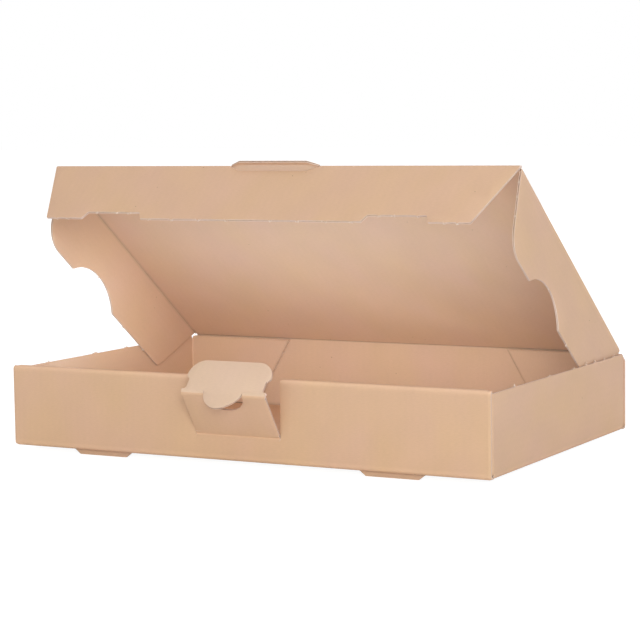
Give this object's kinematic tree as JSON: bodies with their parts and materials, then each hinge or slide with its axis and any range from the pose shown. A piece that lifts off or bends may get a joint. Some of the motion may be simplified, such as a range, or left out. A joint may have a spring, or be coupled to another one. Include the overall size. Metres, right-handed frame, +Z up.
{
  "type": "letter mailer box",
  "caption": "Shallow folded cardboard mailer standing half open: tray with a lined front wall, hinged lid with side flaps and a front flap, and a lock leaf with a tuck panel",
  "frame": {"origin": "the middle of the floor's underside", "axes": "+X to the right along the box's length, seen from the front; +Y from the front wall with the lock to the back wall with the lid's hinge; +Z up"},
  "size_m": [0.246, 0.1788, 0.1358],
  "materials": {
    "board": "matt"
  },
  "bodies": {
    "tray": {"tray": "board"},
    "lid": {"lid": "board"},
    "front_flap": {"front_flap": "board"},
    "lock_flap": {"lock_flap": "board"},
    "tuck_panel": {"tuck_panel": "board"}
  },
  "joints": [
    {"name": "lid_hinge", "type": "hinge", "parent": "tray", "child": "lid", "pos_m": [0, 0.0793, 0.0373], "axis": [-1, 0, 0], "range_deg": [-37.5, 112.5]},
    {"name": "front_flap_fold", "type": "hinge", "parent": "lid", "child": "front_flap", "pos_m": [0, -0.04216, 0.1305], "axis": [-1, 0, 0], "range_deg": [-24.75, 74.25]},
    {"name": "lock_hinge", "type": "hinge", "parent": "tray", "child": "lock_flap", "pos_m": [0, -0.0793, 0.01185], "axis": [1, 0, 0], "range_deg": [-32.9, 57.1]},
    {"name": "tuck_fold", "type": "hinge", "parent": "lock_flap", "child": "tuck_panel", "pos_m": [0, -0.09225, 0.03187], "axis": [1, 0, 0], "range_deg": [-17.1, 29.7]}
  ],
  "couplings": [
    {"joint": "front_flap_fold", "follows": "lid_hinge", "ratio": 0.66},
    {"joint": "tuck_fold", "follows": "lock_hinge", "ratio": 0.51976}
  ]
}
